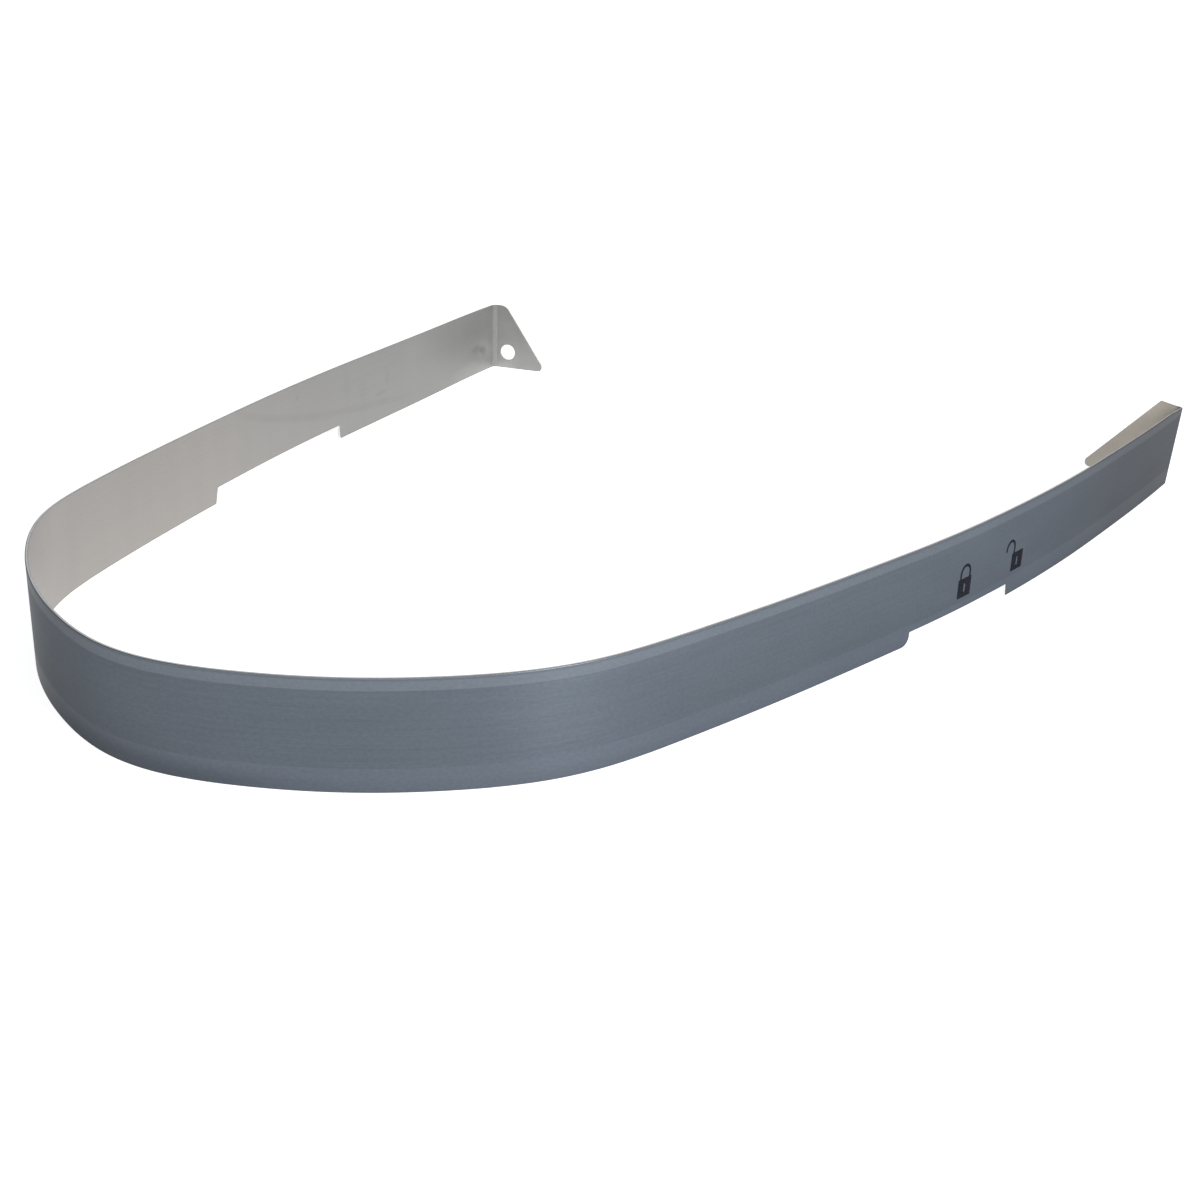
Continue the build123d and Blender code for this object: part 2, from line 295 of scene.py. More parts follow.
def edge_normals(loop):
    """Outward normal of the cut edge at each point of a loop with the sheet on its left."""
    n, found = len(loop), []
    for i, p in enumerate(loop):
        a, b = loop[i - 1], loop[(i + 1) % n]
        la, lb = hypot(p[0] - a[0], p[1] - a[1]), hypot(b[0] - p[0], b[1] - p[1])
        n1 = ((p[1] - a[1]) / la, -(p[0] - a[0]) / la)
        n2 = ((b[1] - p[1]) / lb, -(b[0] - p[0]) / lb)
        x, y = n1[0] + n2[0], n1[1] + n2[1]
        d = hypot(x, y)
        x, y = x / d, y / d
        found.append((x, y, 1 / max(0.5, x * n1[0] + y * n1[1])))
    return found


def inset(loop, normals, size):
    return [(p[0] - m[0] * m[2] * size, p[1] - m[1] * m[2] * size) for p, m in zip(loop, normals)]


def inside(p, loop):
    x, y, odd = p[0], p[1], False
    for i in range(len(loop)):
        (x1, y1), (x2, y2) = loop[i - 1], loop[i]
        if (y1 > y) != (y2 > y) and x < (x2 - x1) * (y - y1) / (y2 - y1) + x1:
            odd = not odd
    return odd


def tiled(loops, grid, margin):
    """Triangles of the area inside loops[0] and outside the other loops: (points, faces).
    The loops' own points come first and keep their order."""
    points, edges = [], []
    for loop in loops:
        at = len(points)
        points += loop
        edges += [(at + i, at + (i + 1) % len(loop)) for i in range(len(loop))]
    near = {}
    for p in points:
        near.setdefault((round(p[0] / margin), round(p[1] / margin)), []).append(p)

    def clear(p):
        a, b = round(p[0] / margin), round(p[1] / margin)
        return all(
            hypot(p[0] - q[0], p[1] - q[1]) > margin * 0.7
            for i in (-1, 0, 1) for j in (-1, 0, 1) for q in near.get((a + i, b + j), ())
        )

    extra = [p for p in grid if clear(p) and inside(p, loops[0]) and not any(inside(p, h) for h in loops[1:])]
    flat = points + extra
    verts, _, faces, orig, _, _ = delaunay_2d_cdt([Vector(p) for p in flat], edges, [], 0, 1e-7, True)
    back = {i: o[0] for i, o in enumerate(orig) if o}
    made = []
    for f in faces:
        c = [flat[back[i]] for i in f]
        mid = (sum(p[0] for p in c) / 3, sum(p[1] for p in c) / 3)
        area = (c[1][0] - c[0][0]) * (c[2][1] - c[0][1]) - (c[2][0] - c[0][0]) * (c[1][1] - c[0][1])
        if abs(area) > 1e-9 and inside(mid, loops[0]) and not any(inside(mid, h) for h in loops[1:]):
            made.append([back[i] for i in (f if area > 0 else reversed(f))])
    return flat, made


# ------------------------------------------------------------------ the sheet
# Where the faces lie on the map that textures are baked to: one row for each half of each
# face, long and low, so that the fine lengthwise grain gets most of the pixels.
ROW_H, ROW_GAP, ROWS_AT = 0.2265, 0.007, 0.006
MAP_LEN = 376.0


def map_place(s, z, row):
    return (0.004 + (abs(s) + 2.0) / MAP_LEN * 0.992, ROWS_AT + row * (ROW_H + ROW_GAP) + z / BAND_HEIGHT * ROW_H)


def make_sheet():
    border = outline()
    at_left = (HOLE_FROM_FOLD + SKEW * HOLE_HEIGHT, HOLE_HEIGHT * STRETCH)
    holes = [
        [from_left_tab(*p) for p in ring(at_left[0], at_left[1], HOLE_D / 2)],
        ring(-right_tab_s(HOLE_FROM_FOLD), HOLE_HEIGHT, HOLE_D / 2),
    ]
    loops = [border] + holes
    normals = [edge_normals(l) for l in loops]
    rows = [0.9, LOWER_LINE * 0.5, LOWER_LINE, 6.9, 9.1, 11.3, 13.5, 15.7, 17.7, UPPER_LINE, 20.9]
    grid = [(c, z) for c in COLUMNS for z in rows]

    verts, vnormals, places, rims, deeps = [], [], [], [], []
    faces, slots = [], []

    def add(s, z, depth, normal, rim, flat):
        verts.append(bent(s, z, depth))
        vnormals.append(normal.normalized())
        places.append(flat)
        rims.append(rim)
        deeps.append(depth / SHEET)
        return len(verts) - 1

    # the two faces
    skins = []
    for depth, size, sign in ((0.0, OUTER_ROUND, 1), (SHEET, INNER_ROUND, -1)):
        edges = [[(upright(*p), p[1]) for p in inset(l, m, size)] for l, m in zip(loops, normals)]
        flat, tris = tiled(edges, grid, 0.8)
        ids = []
        for s, z in [(leaned(*p), p[1]) for p in flat]:
            out, _, _ = directions(s, z)
            ids.append(add(s, z, depth, out * sign, 0.0, (s, z)))
        for t in tris:
            f = [ids[i] for i in t]
            # seen from outside, s grows to the right
            faces.append(f if sign > 0 else f[::-1])
            slots.append(0 if sign > 0 else 1)
        skins.append(ids)

    # the cut edges, with their rounded corners
    at = 0
    for loop, norm in zip(loops, normals):
        n = len(loop)
        lines = [[skins[0][at + i] for i in range(n)]]
        profile = [(0, a, OUTER_ROUND, 1) for a in (30, 60, 90)] + [(2, a, INNER_ROUND, -1) for a in (90, 45)]
        kinds = [0, 0, 0, 2, 1, 1]
        for _, angle, r, sign in profile:
            a = radians(angle)
            line = []
            for (s, z), (ns, nz, grow) in zip(loop, norm):
                o = r * (1 - sin(a)) * grow
                depth = r * (1 - cos(a)) if sign > 0 else SHEET - r * (1 - cos(a))
                out, along, up = directions(s, z)
                wall = (up * ns - along * nz).cross(out).normalized()
                ps, pz = s - ns * o, z - nz * o
                line.append(add(ps, pz, depth, out * (sign * cos(a)) + wall * sin(a), 1.0, (ps, pz)))
            lines.append(line)
        lines.append([skins[1][at + i] for i in range(n)])
        for j in range(len(lines) - 1):
            for i in range(n):
                k = (i + 1) % n
                faces.append([lines[j][i], lines[j + 1][i], lines[j + 1][k], lines[j][k]])
                slots.append(kinds[j])
        at += n

    mesh = bpy.data.meshes.new("trim_band_sheet")
    mesh.from_pydata(verts, [], faces)
    mesh.polygons.foreach_set("material_index", slots)
    mesh.polygons.foreach_set("use_smooth", [True] * len(faces))
    for name, values in (("rim", rims), ("deep", deeps)):
        mesh.attributes.new(name, "FLOAT", "POINT").data.foreach_set("value", values)

    strip = mesh.uv_layers.new(name="strip")
    baked = mesh.uv_layers.new(name="OFBake")
    edge_at = {}
    for poly in mesh.polygons:
        slot = poly.material_index
        mid = sum(places[v][0] for v in poly.vertices) / len(poly.vertices)
        for li, v in zip(poly.loop_indices, poly.vertices):
            s, z = places[v]
            strip.data[li].uv = (s / 100, z / 100)
            row = (0 if mid >= 0 else 1) + (0 if slot == 0 else 2)
            baked.data[li].uv = map_place(s, z, row) if slot != 2 else (0, 0)
    # the narrow cut faces follow in rows of their own, in the order of the loops
    top = ROWS_AT + 4 * (ROW_H + ROW_GAP)
    thick = 0.006
    run, lane, widest = 0.0, 0, 1500.0
    index = [p.index for p in mesh.polygons if p.material_index == 2]
    for pi_ in index:
        poly = mesh.polygons[pi_]
        a, b = verts[poly.vertices[0]], verts[poly.vertices[3]]
        length = (a - b).length / MM
        if run + length > widest / 3:
            run, lane = 0.0, lane + 1
        u0, u1 = 0.004 + run / (widest / 3) * 0.99, 0.004 + (run + length) / (widest / 3) * 0.99
        v0 = top + 0.004 + lane * (thick + 0.006)
        for li, uv in zip(poly.loop_indices, ((u0, v0), (u0, v0 + thick), (u1, v0 + thick), (u1, v0))):
            baked.data[li].uv = uv
        run += length
    strip.active_render = True
    mesh.uv_layers.active = strip
    mesh.validate()
    mesh.normals_split_custom_set_from_vertices([n[:] for n in vnormals])
    mesh.update()
    return mesh


# ------------------------------------------------------------------ printed lock symbols
INK_PROUD, INK_UNDER = 0.012, 0.03      # the ink's top above the outer face, and its foot in the sheet
LOCK_BODY_W, LOCK_BODY_LO, LOCK_BODY_HI = 5.6, 5.7, 10.32
LOCK_ARCH_R, LOCK_LINE = 2.3, 0.7


def turn_round(cs, cz, r, a0, a1, n=22):
    """Points of an arc about a centre, between two angles in degrees."""
    return [
        (cs + r * cos(radians(a0 + (a1 - a0) * i / n)), cz + r * sin(radians(a0 + (a1 - a0) * i / n)))
        for i in range(n + 1)
    ]


def keyhole(cs):
    r = 0.34
    return turn_round(cs, 8.62, r, 180, 0, 10) + turn_round(cs, 7.2, r, 0, -180, 10)


def closed_lock(cs):
    """A padlock with its shackle home: edge anticlockwise, then the openings clockwise."""
    w, lo, hi, r, t, spring = LOCK_BODY_W / 2, LOCK_BODY_LO, LOCK_BODY_HI, LOCK_ARCH_R, LOCK_LINE, 11.35
    c = 0.28
    edge = turn_round(cs - w + c, lo + c, c, 180, 270, 5) + turn_round(cs + w - c, lo + c, c, 270, 360, 5)
    edge += turn_round(cs + w - c, hi - c, c, 0, 90, 5)
    edge += [(cs + r, hi)] + turn_round(cs, spring, r, 0, 180) + [(cs - r, hi)]
    edge += turn_round(cs - w + c, hi - c, c, 90, 180, 5)
    gap = [(cs + r - t, hi), (cs - r + t, hi)] + turn_round(cs, spring, r - t, 180, 0)
    return [edge, gap, keyhole(cs)]


def open_lock(cs):
    """The same padlock with its shackle swung to the left."""
    w, lo, hi, r, t, spring = LOCK_BODY_W / 2, LOCK_BODY_LO + 0.05, LOCK_BODY_HI, LOCK_ARCH_R, LOCK_LINE, 11.75
    c, mid = 0.28, cs - 3.85
    edge = turn_round(cs - w + c, lo + c, c, 180, 270, 5) + turn_round(cs + w - c, lo + c, c, 270, 360, 5)
    edge += turn_round(cs + w - c, hi - c, c, 0, 90, 5)
    edge += [(mid + r, hi)] + turn_round(mid, spring, r, 0, 180) + turn_round(mid - r + t / 2, 11.55, t / 2, 180, 360, 8)
    edge += turn_round(mid, spring, r - t, 180, 0) + [(mid + r - t, hi)]
    edge += turn_round(cs - w + c, hi - c, c, 90, 180, 5)
    return [edge, keyhole(cs)]


def spread(loop, size):
    """The loop with points no further apart than size, and none doubled."""
    found = []
    for i, p in enumerate(loop):
        q = loop[(i + 1) % len(loop)]
        d = hypot(q[0] - p[0], q[1] - p[1])
        if d < 1e-6:
            continue
        n = ceil(d / size)
        found += [(p[0] + (q[0] - p[0]) * j / n, p[1] + (q[1] - p[1]) * j / n) for j in range(n)]
    return found


def make_locks():
    verts, places, faces = [], [], []
    for loops in (closed_lock(200.55), open_lock(225.65)):
        loops = [spread(loop, 0.7) for loop in loops]
        s_all, z_all = [p[0] for p in loops[0]], [p[1] for p in loops[0]]
        across, up = steps(min(s_all), max(s_all), 0.7)[1:-1], steps(min(z_all), max(z_all), 0.7)[1:-1]
        grid = [(s, z) for s in across for z in up]
        flat, tris = tiled(loops, grid, 0.3)
        at, n = len(verts), len(flat)
        for depth in (-INK_PROUD, INK_UNDER):
            verts += [bent(s, z, depth) for s, z in flat]
            places += flat
        faces += [[at + i for i in t] for t in tris]
        faces += [[at + n + i for i in reversed(t)] for t in tris]
        first = at
        for loop in loops:
            m = len(loop)
            for i in range(m):
                a, b = first + i, first + (i + 1) % m
                faces.append([a, a + n, b + n, b])
            first += m
    mesh = bpy.data.meshes.new("lock_symbols")
    mesh.from_pydata(verts, [], faces)
    strip = mesh.uv_layers.new(name="strip")
    for poly in mesh.polygons:
        for li, v in zip(poly.loop_indices, poly.vertices):
            strip.data[li].uv = (places[v][0] / 100, places[v][1] / 100)
    mesh.validate()
    mesh.update()
    return mesh


# ------------------------------------------------------------------ node helpers
def material(name):
    m = bpy.data.materials.new(name)
    m.use_nodes = True
    nt = m.node_tree
    nt.nodes.clear()
    out = nt.nodes.new("ShaderNodeOutputMaterial")
    shader = nt.nodes.new("ShaderNodeBsdfPrincipled")
    nt.links.new(shader.outputs[0], out.inputs["Surface"])
    return m, nt, shader


def put(nt, socket, value):
    if isinstance(value, bpy.types.NodeSocket):
        nt.links.new(value, socket)
    else:
        socket.default_value = value


def maths(nt, op, a, b=0.0, c=0.0, clamp=False):
    n = nt.nodes.new("ShaderNodeMath")
    n.operation, n.use_clamp = op, clamp
    for i, v in enumerate((a, b, c)):
        put(nt, n.inputs[i], v)
    return n.outputs[0]


def ramp(nt, value, lo, hi, to_lo=0.0, to_hi=1.0, smooth=True):
    n = nt.nodes.new("ShaderNodeMapRange")
    n.interpolation_type = "SMOOTHSTEP" if smooth else "LINEAR"
    for k, v in zip(("Value", "From Min", "From Max", "To Min", "To Max"), (value, lo, hi, to_lo, to_hi)):
        put(nt, n.inputs[k], v)
    return n.outputs["Result"]


def mixed(nt, factor, a, b, kind="MIX"):
    n = nt.nodes.new("ShaderNodeMix")
    n.data_type, n.blend_type = "RGBA", kind
    put(nt, n.inputs[0], factor)
    put(nt, n.inputs[6], a)
    put(nt, n.inputs[7], b)
    return n.outputs[2]


def strip_place(nt):
    """Strip length and height in millimetres, from the sheet's own flat map."""
    uv = nt.nodes.new("ShaderNodeUVMap")
    uv.uv_map = "strip"
    sep = nt.nodes.new("ShaderNodeSeparateXYZ")
    nt.links.new(uv.outputs[0], sep.inputs[0])
    return maths(nt, "MULTIPLY", sep.outputs[0], 100.0), maths(nt, "MULTIPLY", sep.outputs[1], 100.0)


def grain(nt, s, z, along, across, detail=2.0, rough=0.5, seed=0.0):
    """Noise from 0 to 1 with features of those sizes in millimetres along and across the strip."""
    join = nt.nodes.new("ShaderNodeCombineXYZ")
    put(nt, join.inputs[0], maths(nt, "DIVIDE", s, along))
    put(nt, join.inputs[1], maths(nt, "DIVIDE", z, across))
    join.inputs[2].default_value = seed
    n = nt.nodes.new("ShaderNodeTexNoise")
    n.noise_dimensions = "3D"
    nt.links.new(join.outputs[0], n.inputs["Vector"])
    n.inputs["Scale"].default_value = 1.0
    n.inputs["Detail"].default_value = detail
    n.inputs["Roughness"].default_value = rough
    return n.outputs["Fac"]


def spot(nt, s, z, cs, cz, rs, rz, power=1.0):
    """A soft round mark at a place on the strip: 1 in its middle, 0 from its edge on."""
    a = maths(nt, "DIVIDE", maths(nt, "SUBTRACT", s, cs), rs)
    b = maths(nt, "DIVIDE", maths(nt, "SUBTRACT", z, cz), rz)
    d = maths(nt, "SQRT", maths(nt, "ADD", maths(nt, "MULTIPLY", a, a), maths(nt, "MULTIPLY", b, b)))
    return ramp(nt, d, 0.25, 1.0, power, 0.0)


def lengthwise(nt):
    t = nt.nodes.new("ShaderNodeTangent")
    t.direction_type, t.uv_map = "UV_MAP", "strip"
    return t.outputs[0]


# ------------------------------------------------------------------ finishes
def greyed(nt, light, colour):
    """A colour made lighter or darker by a factor."""
    grey = nt.nodes.new("ShaderNodeCombineColor")
    for i in range(3):
        nt.links.new(light, grey.inputs[i])
    return mixed(nt, 1.0, colour, grey.outputs[0], "MULTIPLY")


def attribute(nt, name):
    n = nt.nodes.new("ShaderNodeAttribute")
    n.attribute_name = name
    return n.outputs["Fac"]


def bumped(nt, shader, height, strength, distance):
    n = nt.nodes.new("ShaderNodeBump")
    n.inputs["Strength"].default_value = strength
    n.inputs["Distance"].default_value = distance
    nt.links.new(height, n.inputs["Height"])
    nt.links.new(n.outputs[0], shader.inputs["Normal"])


def outer_finish():
    m, nt, shader = material("outer_satin")
    s, z = strip_place(nt)
    # the borders' lines are crisp around the front and worn softer towards the ends
    soft = ramp(nt, maths(nt, "ABSOLUTE", s), 120.0, 330.0, 0.1, 0.42)
    upper = ramp(nt, z, maths(nt, "SUBTRACT", UPPER_LINE, soft), maths(nt, "ADD", UPPER_LINE, soft))
    lower = ramp(nt, z, maths(nt, "SUBTRACT", LOWER_LINE, soft), maths(nt, "ADD", LOWER_LINE, soft), 1.0, 0.0)
    border = maths(nt, "MAXIMUM", upper, lower)

    fine = grain(nt, s, z, 18.0, 0.20, 2.0, 0.6, 3.1)
    middle = grain(nt, s, z, 60.0, 0.42, 2.0, 0.5, 8.4)
    broad = grain(nt, s, z, 130.0, 2.3, 2.0, 0.5, 1.7)
    cloud = grain(nt, s, z, 24.0, 9.0, 3.0, 0.55, 5.2)
    streak = maths(nt, "ADD", maths(nt, "MULTIPLY", fine, 0.45), maths(nt, "MULTIPLY", middle, 0.35))
    streak = maths(nt, "ADD", streak, maths(nt, "MULTIPLY", broad, 0.20))
    # the smooth borders show much less of the grain than the brushed middle
    depth = ramp(nt, border, 0.0, 1.0, 1.0, 0.28, smooth=False)
    streak = maths(nt, "MULTIPLY", maths(nt, "SUBTRACT", streak, 0.5), depth)

    tone = mixed(nt, upper, (0.117, 0.138, 0.166, 1), (0.147, 0.169, 0.200, 1))
    tone = mixed(nt, lower, tone, (0.126, 0.147, 0.180, 1))
    # painted shade: darker towards the ends and around the front, where the face reflects darker surroundings
    tone = mixed(nt, ramp(nt, maths(nt, "ABSOLUTE", s), 225.0, 325.0), tone, (0.85, 0.79, 0.76, 1), "MULTIPLY")
    tone = mixed(nt, spot(nt, s, z, -22.0, 8.0, 58.0, 60.0), tone, (0.90, 0.87, 0.85, 1), "MULTIPLY")
    light = maths(nt, "ADD", 1.0, maths(nt, "MULTIPLY", streak, 0.55))
    # painted shade: darker towards the lower edge, and more so along it around the front, where the floor's shadow is
    # reflected
    light = maths(nt, "MULTIPLY", light, ramp(nt, z, 0.0, 3.2, 0.92, 1.0))
    light = maths(nt, "SUBTRACT", light, spot(nt, s, z, -6.0, 0.6, 56.0, 4.6, 0.24))
    light = maths(nt, "MULTIPLY", light, ramp(nt, cloud, 0.25, 0.75, 0.965, 1.035))
    speckle = grain(nt, s, z, 0.9, 0.6, 2.0, 0.6, 17.0)
    light = maths(nt, "MULTIPLY", light, ramp(nt, speckle, 0.2, 0.8, 0.91, 1.09, smooth=False))
    # painted light: the middle stripe is lighter towards the top and darker towards the bottom
    light = maths(nt, "MULTIPLY", light, ramp(nt, z, LOWER_LINE, UPPER_LINE, 0.97, 1.06, smooth=False))
    # painted highlight: the rolled corner of the top edge is brightened along the left arm, with a darker line below
    # it
    rim_gain_with_painted_highlight = maths(nt, "MULTIPLY", ramp(nt, s, -5.0, 40.0, 0.72, 2.6), ramp(nt, s, 60.0, 110.0, 1.0, 0.72))
    rim_gain_with_painted_highlight = maths(nt, "SUBTRACT", rim_gain_with_painted_highlight, spot(nt, s, z, 80.0, 22.0, 28.0, 60.0, 1.1))
    rim_gain_with_painted_highlight = maths(nt, "MULTIPLY", rim_gain_with_painted_highlight, ramp(nt, s, 250.0, 280.0, 1.0, 0.5))
    rim_gain_with_painted_highlight = ramp(nt, z, 12.0, 18.0, 0.72, rim_gain_with_painted_highlight)
    light = maths(nt, "MULTIPLY", light, ramp(nt, attribute(nt, "rim"), 0.0, 1.0, 1.0, rim_gain_with_painted_highlight, smooth=False))
    straight = maths(nt, "MULTIPLY_ADD", z, -LEAN, s)
    dipped = maths(nt, "ADD", z, ramp(nt, straight, LEFT_REACH - LEFT_DIP_ARM, LEFT_REACH, 0.0, LEFT_DIP))
    under = maths(nt, "ABSOLUTE", maths(nt, "SUBTRACT", dipped, BAND_HEIGHT - 0.36))
    light = maths(nt, "MULTIPLY", light, ramp(nt, under, 0.06, 0.26, 0.82, 1.0))
    # and painted shade: the turn into the left fold is a little darker
    light = maths(nt, "MULTIPLY", light, ramp(nt, straight, LEFT_REACH - 0.8, LEFT_REACH + 0.6, 1.0, 0.8))
    nt.links.new(greyed(nt, light, tone), shader.inputs["Base Color"])

    rough = maths(nt, "ADD", ramp(nt, border, 0.0, 1.0, 0.44, 0.38, smooth=False), maths(nt, "MULTIPLY", streak, 0.22))
    nt.links.new(rough, shader.inputs["Roughness"])
    bumped(nt, shader, streak, 0.12, 0.00004)
    shader.inputs["Metallic"].default_value = 0.9
    shader.inputs["Specular Tint"].default_value = (0.45, 0.45, 0.45, 1)
    shader.inputs["Anisotropic"].default_value = 0.45
    shader.inputs["Anisotropic Rotation"].default_value = 0.25
    nt.links.new(lengthwise(nt), shader.inputs["Tangent"])
    return m


# handling marks on the inner face, with painted shade (the broad mark high up at -303) and painted light (the one at
# the foot at -315, of negative depth) among them: middle and size in millimetres along and up, and depth
SMUDGES_AND_PAINTED_SHADING = [
    (-203.9, 18.0, 0.55, 1.1, 0.16), (-251.9, 8.6, 4.5, 1.7, 0.07), (-256.3, 12.4, 1.6, 3.6, 0.04),
    (-232, 14.4, 3.0, 4.0, 0.03), (-241, 12.0, 3.5, 4.5, 0.03), (-320, 8.4, 7.0, 2.5, 0.18),
    (-324.3, 7.5, 3.4, 2.6, 0.19), (-303, 19.0, 32.0, 13.0, 0.10), (-315, 1.0, 20.0, 5.0, -0.14),
]


def inner_finish():
    m, nt, shader = material("inner_mill")
    s, z = strip_place(nt)
    roll = grain(nt, s, z, 45.0, 0.35, 3.0, 0.55, 11.0)
    bands = grain(nt, s, z, 9.0, 60.0, 2.0, 0.5, 4.0)
    cloud = grain(nt, s, z, 14.0, 8.0, 4.0, 0.6, 21.0)
    light = maths(nt, "ADD", 1.0, maths(nt, "MULTIPLY", maths(nt, "SUBTRACT", roll, 0.5), 0.10))
    light = maths(nt, "MULTIPLY", light, ramp(nt, bands, 0.2, 0.8, 0.985, 1.015))
    light = maths(nt, "MULTIPLY", light, ramp(nt, cloud, 0.25, 0.75, 0.965, 1.03))
    ragged = maths(nt, "ADD", z, ramp(nt, cloud, 0.2, 0.8, -1.2, 1.2))
    for cs, cz, rs, rz, power in SMUDGES_AND_PAINTED_SHADING:
        light = maths(nt, "SUBTRACT", light, spot(nt, s, ragged if rs > 1 else z, cs, cz, rs, rz, power))
    # one long wiped line that runs down towards the rear
    q = maths(nt, "DIVIDE", maths(nt, "ADD", s, 210.0), 40.0)
    bow = maths(nt, "MULTIPLY_ADD", q, 0.884, 2.879)
    bow = maths(nt, "MULTIPLY_ADD", bow, q, 7.184)
    bow = maths(nt, "MULTIPLY_ADD", bow, q, 10.865)
    off = maths(nt, "ABSOLUTE", maths(nt, "SUBTRACT", maths(nt, "MULTIPLY_ADD", cloud, 1.2, z), maths(nt, "ADD", bow, 0.6)))
    wiped = maths(nt, "MULTIPLY", ramp(nt, off, 0.2, 1.9, 0.055, 0.0), ramp(nt, s, -285.0, -255.0))
    light = maths(nt, "SUBTRACT", light, maths(nt, "MULTIPLY", wiped, ramp(nt, s, -180.0, -168.0, 1.0, 0.0)))
    # painted shade: darker in the middle of each fold; painted light: the tabs beyond the folds are lighter, the right
    # one less so near its foot
    straight = maths(nt, "MULTIPLY_ADD", z, -LEAN, s)
    left_off = maths(nt, "SUBTRACT", straight, LEFT_REACH + LEFT_ARC / 2)
    right_off = maths(nt, "SUBTRACT", -RIGHT_REACH - RIGHT_ARC / 2, s)
    left_tab_painted_light = maths(nt, "MINIMUM", ramp(nt, left_off, 2.0, 8.0, 1.64, 1.97), ramp(nt, left_off, 7.0, 24.0, 1.97, 1.76))
    right_tab_painted_light = maths(nt, "MULTIPLY", ramp(nt, right_off, 5.0, 12.0, 1.26, 1.11), ramp(nt, z, 2.0, 10.0, 0.95, 1.0))
    for off, tab_painted_light in ((left_off, left_tab_painted_light), (right_off, right_tab_painted_light)):
        painted_fold_shade = ramp(nt, maths(nt, "ABSOLUTE", off), 0.2, 1.0, 0.72, 1.0)
        light = maths(nt, "MULTIPLY", maths(nt, "MULTIPLY", light, painted_fold_shade), ramp(nt, off, 0.4, 2.4, 1.0, tab_painted_light))
    # painted light: paler just ahead of the right fold
    light = maths(nt, "MULTIPLY", light, ramp(nt, s, -RIGHT_REACH, -RIGHT_REACH + 16.0, 1.16, 1.0))
    speckle = grain(nt, s, z, 0.6, 0.5, 2.0, 0.6, 31.0)
    light = maths(nt, "MULTIPLY", light, ramp(nt, speckle, 0.2, 0.8, 0.965, 1.035, smooth=False))
    # painted light and shade: lighter at the foot and darker at the top, where the bright floor is reflected low in
    # the face
    light = maths(nt, "MULTIPLY", light, ramp(nt, z, 1.0, 21.0, 1.045, 0.96, smooth=False))
    tone = mixed(nt, ramp(nt, s, -240.0, -140.0), (0.300, 0.300, 0.298, 1), (0.341, 0.326, 0.312, 1))
    tone = mixed(nt, ramp(nt, left_off, 1.2, 2.6), tone, (1.03, 1.0, 0.92, 1), "MULTIPLY")
    nt.links.new(greyed(nt, light, tone), shader.inputs["Base Color"])
    nt.links.new(ramp(nt, cloud, 0.3, 0.7, 0.45, 0.53), shader.inputs["Roughness"])
    bumped(nt, shader, roll, 0.06, 0.00004)
    shader.inputs["Metallic"].default_value = 0.6
    shader.inputs["Anisotropic"].default_value = 0.2
    shader.inputs["Anisotropic Rotation"].default_value = 0.25
    nt.links.new(lengthwise(nt), shader.inputs["Tangent"])
    return m


def cut_finish():
    m, nt, shader = material("cut_edge")
    s, z = strip_place(nt)
    shear = grain(nt, s, z, 0.12, 0.12, 2.0, 0.6, 2.0)
    patch = grain(nt, s, z, 5.0, 5.0, 2.0, 0.5, 9.0)
    # the sheared face is burnished next to the outer side, and torn brighter towards the inner side
    line = ramp(nt, attribute(nt, "deep"), 0.26, 0.46, 0.82, 1.0)
    light = maths(nt, "MULTIPLY", ramp(nt, shear, 0.25, 0.75, 0.86, 1.1), ramp(nt, patch, 0.3, 0.7, 0.93, 1.05))
    light = maths(nt, "MULTIPLY", light, line)
    # duller along the last part of the left arm
    light = maths(nt, "MULTIPLY", light, ramp(nt, s, 255.0, 280.0, 1.0, 0.85))
    nt.links.new(greyed(nt, light, (0.95, 0.97, 0.98, 1)), shader.inputs["Base Color"])
    nt.links.new(ramp(nt, shear, 0.2, 0.8, 0.38, 0.58), shader.inputs["Roughness"])
    shader.inputs["Metallic"].default_value = 0.5
    return m


def ink_finish():
    m, nt, shader = material("dark_ink")
    s, z = strip_place(nt)
    speck = grain(nt, s, z, 0.25, 0.18, 3.0, 0.6, 6.0)
    wash = grain(nt, s, z, 3.0, 2.0, 2.0, 0.5, 14.0)
    light = maths(nt, "MULTIPLY", ramp(nt, speck, 0.25, 0.75, 0.82, 1.18), ramp(nt, wash, 0.3, 0.7, 0.92, 1.08))
    nt.links.new(greyed(nt, light, (0.036, 0.038, 0.047, 1)), shader.inputs["Base Color"])
    nt.links.new(ramp(nt, speck, 0.25, 0.75, 0.5, 0.62), shader.inputs["Roughness"])
    bumped(nt, shader, speck, 0.1, 0.00002)
    shader.inputs["Metallic"].default_value = 1.0
    shader.inputs["Specular Tint"].default_value = (0.15, 0.15, 0.15, 1)
    return m


def plain_floor():
    m, nt, shader = material("pale_floor")
    shader.inputs["Base Color"].default_value = (0.80, 0.80, 0.80, 1)
    shader.inputs["Roughness"].default_value = 0.9
    shader.inputs["Specular IOR Level"].default_value = 0.1
    shader.inputs["Emission Color"].default_value = (1.0, 1.0, 1.0, 1)
    shader.inputs["Emission Strength"].default_value = 0.82
    return m


# ------------------------------------------------------------------ pieces
sheet_mesh = make_sheet()
for m in (outer_finish(), inner_finish(), cut_finish()):
    sheet_mesh.materials.append(m)
band = bpy.data.objects.new("trim_band_sheet", sheet_mesh)
bpy.context.scene.collection.objects.link(band)
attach(band, "root")
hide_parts("trim_band")

ink_mesh = make_locks()
ink_mesh.materials.append(ink_finish())
locks = bpy.data.objects.new("lock_symbols", ink_mesh)
bpy.context.scene.collection.objects.link(locks)
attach(locks, "root")

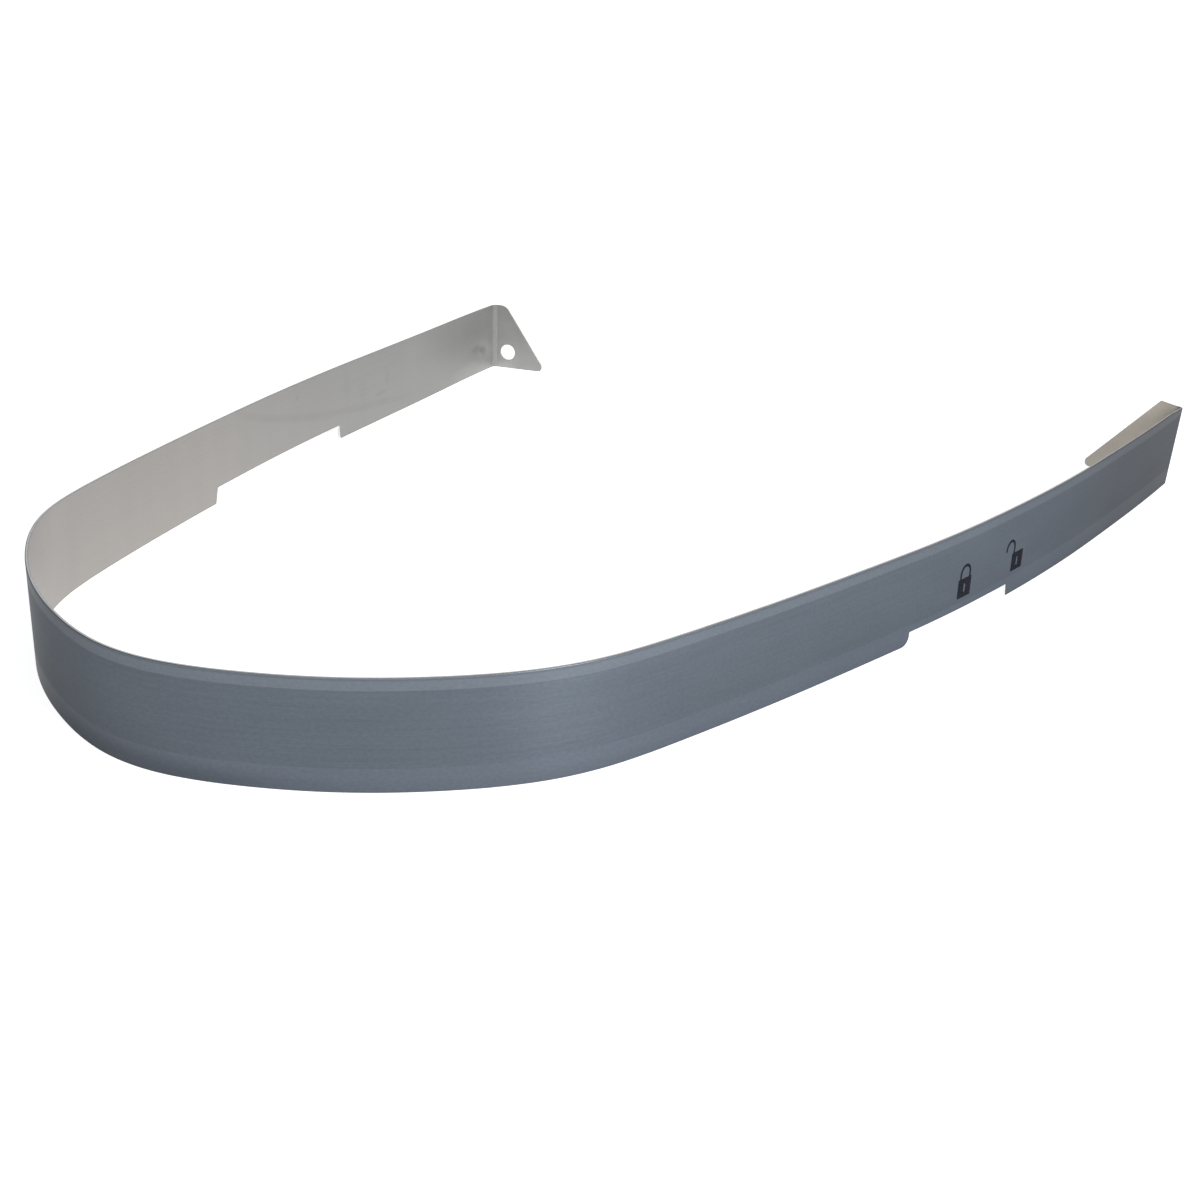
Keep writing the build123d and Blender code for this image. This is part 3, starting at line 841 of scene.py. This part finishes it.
# ------------------------------------------------------------------ stage, light and camera
floor_mesh = bpy.data.meshes.new("floor")
half = 30.0
floor_mesh.from_pydata(
    [(-half, -half, -0.00002), (half, -half, -0.00002), (half, half, -0.00002), (-half, half, -0.00002)], [], [(0, 1, 2, 3)]
)
floor_mesh.materials.append(plain_floor())
floor = bpy.data.objects.new("floor", floor_mesh)
bpy.context.scene.collection.objects.link(floor)

world = bpy.data.worlds.new("studio")
bpy.context.scene.world = world
world.use_nodes = True
world.node_tree.nodes["Background"].inputs["Color"].default_value = (1.0, 1.0, 1.0, 1)
world.node_tree.nodes["Background"].inputs["Strength"].default_value = 0.33


def soft_light(name, place, target, size, watts, colour):
    data = bpy.data.lights.new(name, "AREA")
    data.shape, data.size, data.energy, data.color = "DISK", size, watts, colour
    obj = bpy.data.objects.new(name, data)
    obj.location = place
    obj.rotation_mode = "QUATERNION"
    obj.rotation_quaternion = (Vector(target) - Vector(place)).to_track_quat("-Z", "Y")
    bpy.context.scene.collection.objects.link(obj)
    return obj


soft_light("key", (-0.25, -0.95, 0.40), (-0.05, -0.08, 0), 0.5, 7.5, (1.0, 0.99, 0.97))

CAMERA_AT = Vector((-328.868, -199.730, 137.03)) * MM
LOOK_AT = Vector((-56.478, -42.570, 11.0)) * MM
ROLL = radians(-2.019)
forward = (LOOK_AT - CAMERA_AT).normalized()
right = forward.cross(Vector((0, 0, 1))).normalized()
down = forward.cross(right)
right, down = right * cos(ROLL) + down * sin(ROLL), down * cos(ROLL) - right * sin(ROLL)
camera_data = bpy.data.cameras.new("camera")
camera_data.sensor_width, camera_data.lens = 36.0, 48.204
camera_data.clip_start, camera_data.clip_end = 0.01, 200.0
camera = bpy.data.objects.new("camera", camera_data)
camera.matrix_world = Matrix.Translation(CAMERA_AT) @ Matrix((right, -down, -forward)).transposed().to_4x4()
bpy.context.scene.collection.objects.link(camera)
bpy.context.scene.camera = camera

bpy.context.scene.view_settings.view_transform = "Standard"
bpy.context.scene.view_settings.look = "None"
